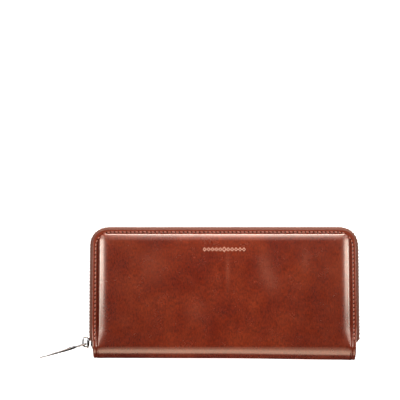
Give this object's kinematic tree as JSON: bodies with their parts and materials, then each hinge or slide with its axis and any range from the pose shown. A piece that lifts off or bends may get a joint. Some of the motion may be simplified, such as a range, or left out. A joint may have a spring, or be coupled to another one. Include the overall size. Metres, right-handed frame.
{
  "type": "zip around wallet",
  "caption": "Long leather wallet with padded covers, a zip round three sides, a pull, card pockets and a zipped coin pocket inside.",
  "frame": {"origin": "on the back cover's flat outer face, midway along the wallet's length, where it rests on a table", "axes": "+X along the wallet's length, +Y from the spine to the opening edge, +Z out of the front cover"},
  "size_m": [0.2324, 0.0967, 0.024],
  "materials": {
    "outer_leather": "polished reddish brown hide with light pull-up marks",
    "lining_leather": "thin matt leather",
    "lining_fabric": "woven cotton lining",
    "foam": "soft padding",
    "board": "grey-brown pressed board",
    "zip_tape": "ribbed woven tape",
    "zip_metal": "dark antique metal",
    "nickel": "polished nickel plate"
  },
  "bodies": {
    "back_cover": {"back_leather": "outer_leather", "back_padding": "foam", "back_board": "board", "back_lining": "lining_fabric", "back_zip_tape": "zip_tape", "back_zip_teeth": "zip_metal", "back_zip_stop": "zip_metal", "back_card_pocket_1": "lining_leather", "back_card_pocket_2": "lining_leather", "back_card_pocket_3": "lining_leather", "back_card_pocket_4": "lining_leather", "back_spine_leather": "outer_leather", "back_spine_padding": "foam", "back_spine_lining": "lining_fabric", "back_left_end_tab": "outer_leather", "back_right_end_tab": "outer_leather", "left_back_gusset": "lining_leather", "right_back_gusset": "lining_leather"},
    "front_cover": {"front_leather": "outer_leather", "front_padding": "foam", "front_board": "board", "front_lining": "lining_fabric", "front_zip_tape": "zip_tape", "front_zip_teeth": "zip_metal", "front_zip_stop": "zip_metal", "front_card_pocket_1": "lining_leather", "front_card_pocket_2": "lining_leather", "front_card_pocket_3": "lining_leather", "front_card_pocket_4": "lining_leather", "front_spine_leather": "outer_leather", "front_spine_padding": "foam", "front_spine_lining": "lining_fabric", "front_left_end_tab": "outer_leather", "front_right_end_tab": "outer_leather", "left_front_gusset": "lining_leather", "right_front_gusset": "lining_leather"},
    "coin_pocket": {"coin_pocket_back_wall": "lining_leather", "coin_pocket_front_wall": "lining_leather", "coin_pocket_bottom": "lining_leather", "coin_pocket_left_side": "lining_leather", "coin_pocket_right_side": "lining_leather", "coin_zip_back_tape": "zip_tape", "coin_zip_front_tape": "zip_tape", "coin_zip_back_teeth": "zip_metal", "coin_zip_front_teeth": "zip_metal", "coin_zip_left_stop": "zip_metal", "coin_zip_right_stop": "zip_metal"},
    "main_slider": {"main_zip_slider": "nickel"},
    "main_pull": {"main_zip_pull": "nickel"},
    "coin_slider": {"coin_zip_slider": "nickel"},
    "coin_pull": {"coin_zip_pull": "nickel"}
  },
  "joints": [
    {"name": "front_cover_hinge", "type": "hinge", "parent": "back_cover", "child": "front_cover", "pos_m": [0, -0.0475, 0.012], "axis": [1, 0, 0], "range_deg": [0, 60], "deforming": ["left_back_gusset", "right_back_gusset", "left_front_gusset", "right_front_gusset"]},
    {"name": "coin_pocket_hinge", "type": "hinge", "parent": "back_cover", "child": "coin_pocket", "pos_m": [0, -0.0475, 0.012], "axis": [1, 0, 0], "range_deg": [0, 30]},
    {"name": "main_zip_slide", "type": "slide", "parent": "back_cover", "child": "main_slider", "axis": [0, 1, 0], "range_m": [0, 0.062]},
    {"name": "main_pull_swing", "type": "hinge", "parent": "main_slider", "child": "main_pull", "pos_m": [-0.1004, -0.0363, 0.012], "axis": [0, 0, 1], "range_deg": [-45, 65]},
    {"name": "coin_zip_slide", "type": "slide", "parent": "coin_pocket", "child": "coin_slider", "axis": [1, 0, 0], "range_m": [0, 0.156]},
    {"name": "coin_pull_swing", "type": "hinge", "parent": "coin_slider", "child": "coin_pull", "pos_m": [-0.078, 0.03055, 0.012], "axis": [0, 0, 1], "range_deg": [0, 170]}
  ],
  "couplings": [
    {"joint": "coin_pocket_hinge", "follows": "front_cover_hinge", "ratio": 0.5}
  ]
}
